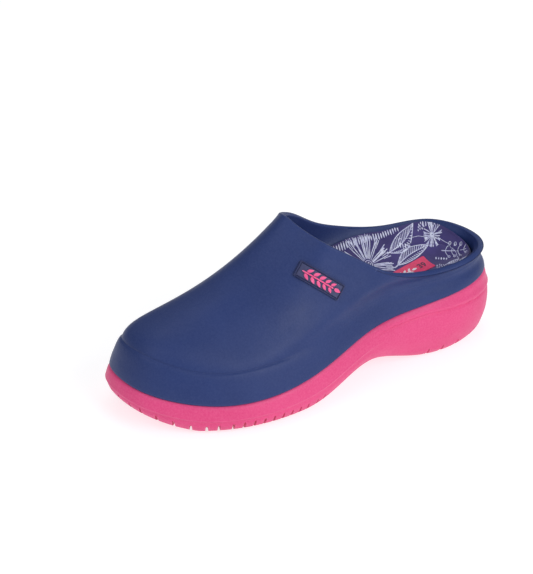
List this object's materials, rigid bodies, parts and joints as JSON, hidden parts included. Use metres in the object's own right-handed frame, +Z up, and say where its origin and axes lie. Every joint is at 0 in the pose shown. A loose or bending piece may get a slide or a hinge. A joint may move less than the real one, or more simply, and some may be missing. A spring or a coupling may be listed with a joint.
{
  "type": "garden clog",
  "caption": "Slip-on garden clog for the left foot, with a moulded upper, a thick outsole, a badge and a lift-out cushioned insole.",
  "frame": {"origin": "middle of the clog's bounding box, on the ground under the sole", "axes": "+Z up, -Y towards the toe, +Y towards the heel, +X towards the outer side of the left foot"},
  "size_m": [0.1026, 0.266, 0.1102],
  "materials": {
    "outsole_rubber": "satin moulded rubber",
    "upper_rubber": "satin moulded rubber with a fine grain",
    "insole_foam": "matt closed-cell foam",
    "insole_fabric": "printed woven fabric",
    "label_film": "printed film",
    "badge_rubber": "satin rubber",
    "badge_mark": "satin rubber"
  },
  "bodies": {
    "clog": {"outsole": "outsole_rubber", "upper": "upper_rubber", "badge_plate": "badge_rubber", "badge_emblem": "badge_mark"},
    "insole": {"insole_foam": "insole_foam", "insole_cover": "insole_fabric", "insole_label": "label_film"}
  },
  "joints": [
    {"name": "insole_lift", "type": "hinge", "parent": "clog", "child": "insole", "pos_m": [-0.015, -0.119, 0.033], "axis": [1, 0, 0], "range_deg": [0, 8]}
  ]
}
